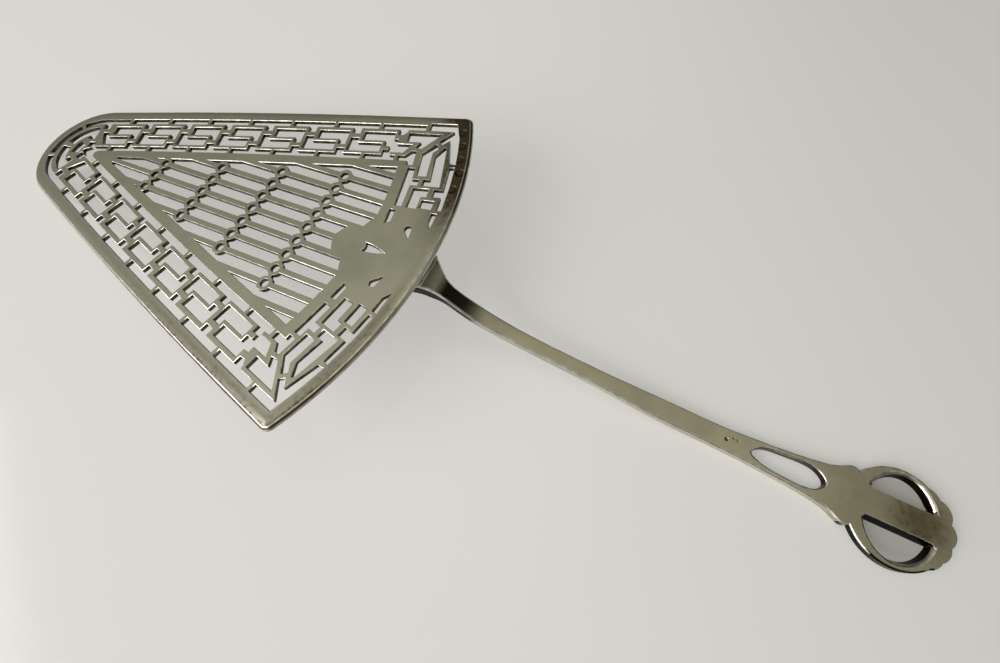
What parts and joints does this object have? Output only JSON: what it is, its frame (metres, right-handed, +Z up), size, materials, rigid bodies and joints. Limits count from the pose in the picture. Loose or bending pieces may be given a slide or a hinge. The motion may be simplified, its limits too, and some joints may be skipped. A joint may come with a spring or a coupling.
{
  "type": "fish slice",
  "caption": "Wedge-shaped serving slice with a round tip, a fret border and a slotted lattice in its flat blade, and a slender curved handle with an openwork end.",
  "frame": {"origin": "on the table, at the middle of the slice's length and width", "axes": "+X from the blade's tip to the handle's end, +Y to the left when seen from the tip along +X, +Z up from the table"},
  "size_m": [0.3026, 0.1054, 0.0267],
  "materials": {
    "silver": "aged silver, satin from fine scratches, with a grey-olive tone and brown tarnish near the edges"
  },
  "bodies": {
    "root": {"pierced_blade": "silver", "handle": "silver"}
  },
  "joints": []
}
